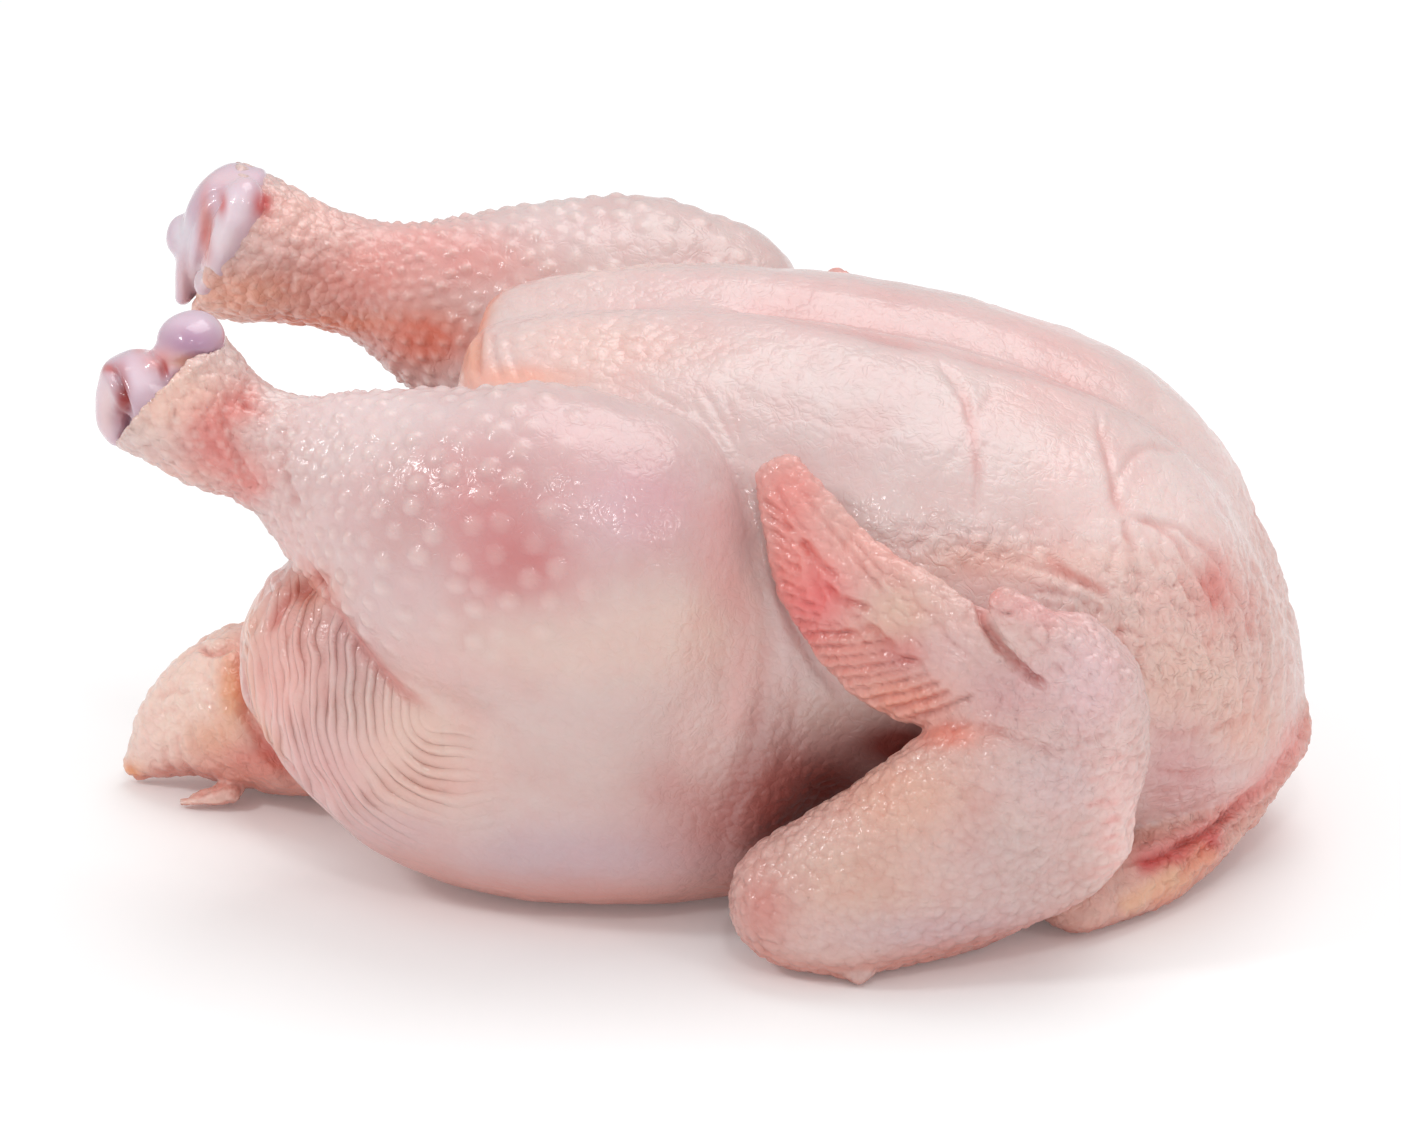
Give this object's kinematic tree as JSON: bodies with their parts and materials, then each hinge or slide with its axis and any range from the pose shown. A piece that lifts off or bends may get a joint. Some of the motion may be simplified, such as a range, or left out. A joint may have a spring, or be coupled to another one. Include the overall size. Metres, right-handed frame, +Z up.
{
  "type": "whole raw chicken",
  "caption": "Whole raw chicken, plucked and drawn, lying on its back with its legs stretched out and its wings folded against the breast.",
  "frame": {"origin": "on the table, under the middle of the bird's bounding box", "axes": "+X towards the neck, +Y towards the bird's right side, +Z up; the bird lies on its back with its breast up"},
  "size_m": [0.2534, 0.1898, 0.128],
  "materials": {
    "skin": "moist raw skin",
    "gristle": "wet gristle"
  },
  "bodies": {
    "root": {"chicken": "skin", "left_leg_bone": "gristle", "right_leg_bone": "gristle"}
  },
  "joints": []
}
